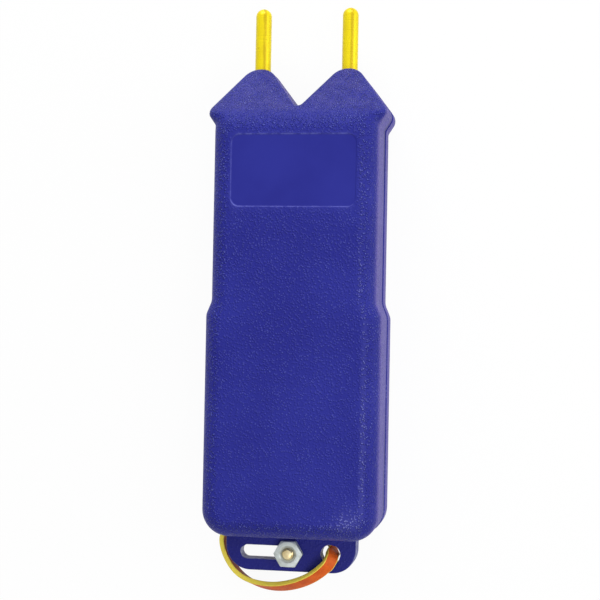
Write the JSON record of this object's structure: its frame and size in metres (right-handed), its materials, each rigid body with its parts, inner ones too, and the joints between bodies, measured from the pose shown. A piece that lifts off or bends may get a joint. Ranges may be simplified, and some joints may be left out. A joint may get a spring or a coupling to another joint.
{
  "type": "cattle prodder",
  "caption": "Pocket battery stock prod: moulded two-shell case with a notched, sloped head, brass prods, a side push button and a slotted tab with a clamp screw and a leather loop.",
  "frame": {"origin": "centre of the box round the rigid part, on the plane of the flat back that it lies on", "axes": "+Y along the case towards the prods, +Z out of the front face, +X to the right of someone who looks at the front face with the prods up"},
  "size_m": [0.0608, 0.204, 0.0335],
  "materials": {
    "blue_plastic": "pebble-grained, satin",
    "prod_brass": "polished",
    "screw_steel": "yellow zinc plate",
    "nut_zinc": "zinc plate",
    "strap_leather": "dyed face, pale cut edges",
    "rivet_brass": "satin",
    "button_plastic": "satin",
    "spring_steel": "bright nickel plate",
    "contact_bronze": "satin",
    "fibre_board": "matt fibre",
    "brown_plastic": "satin",
    "cell_jacket": "painted jacket",
    "former_plastic": "satin",
    "winding_copper": "enamelled wire",
    "core_iron": "machined",
    "reed_steel": "satin",
    "post_brass": "satin",
    "condenser_jacket": "waxed"
  },
  "bodies": {
    "case": {"front_shell": "blue_plastic", "rear_shell": "blue_plastic", "left_prod": "prod_brass", "right_prod": "prod_brass", "hang_strap": "strap_leather", "strap_rivet": "rivet_brass", "trigger_spring": "spring_steel", "bridge_spring": "spring_steel", "minus_spring": "spring_steel", "cell_bridge": "spring_steel", "plus_contact": "spring_steel", "minus_contact": "spring_steel", "lever_pin": "spring_steel", "contact_screw": "spring_steel", "fixed_contact": "contact_bronze", "circuit_board": "fibre_board", "cell_partition": "fibre_board", "switch_block": "brown_plastic", "left_cell": "cell_jacket", "right_cell": "cell_jacket", "coil_former": "former_plastic", "coil_winding": "winding_copper", "coil_core": "core_iron", "reed_post": "post_brass", "contact_post": "post_brass", "condenser": "condenser_jacket"},
    "trigger": {"trigger_button": "button_plastic"},
    "lever": {"switch_lever": "contact_bronze"},
    "reed": {"buzzer_reed": "reed_steel"},
    "clamp": {"clamp_screw": "screw_steel", "clamp_nut": "nut_zinc"}
  },
  "joints": [
    {"name": "button_press", "type": "slide", "parent": "case", "child": "trigger", "axis": [1, 0, 0], "range_m": [0, 0.0016], "stiffness_N_per_m": 1500, "springref_m": -0.001, "deforming": ["trigger_spring"]},
    {"name": "lever_swing", "type": "hinge", "parent": "case", "child": "lever", "pos_m": [-0.01735, 0.01625, 0.016], "axis": [0, 0, 1], "range_deg": [-7, 0]},
    {"name": "reed_vibration", "type": "hinge", "parent": "case", "child": "reed", "pos_m": [-0.003, 0.03455, 0.0154], "axis": [0, 0, 1], "range_deg": [-2.4, 0], "stiffness_Nm_per_rad": 0.05},
    {"name": "clamp_slide", "type": "slide", "parent": "case", "child": "clamp", "axis": [1, 0, 0], "range_m": [-0.0147, 0]}
  ],
  "couplings": [
    {"joint": "lever_swing", "follows": "button_press", "rad_per_m": -76.28}
  ]
}
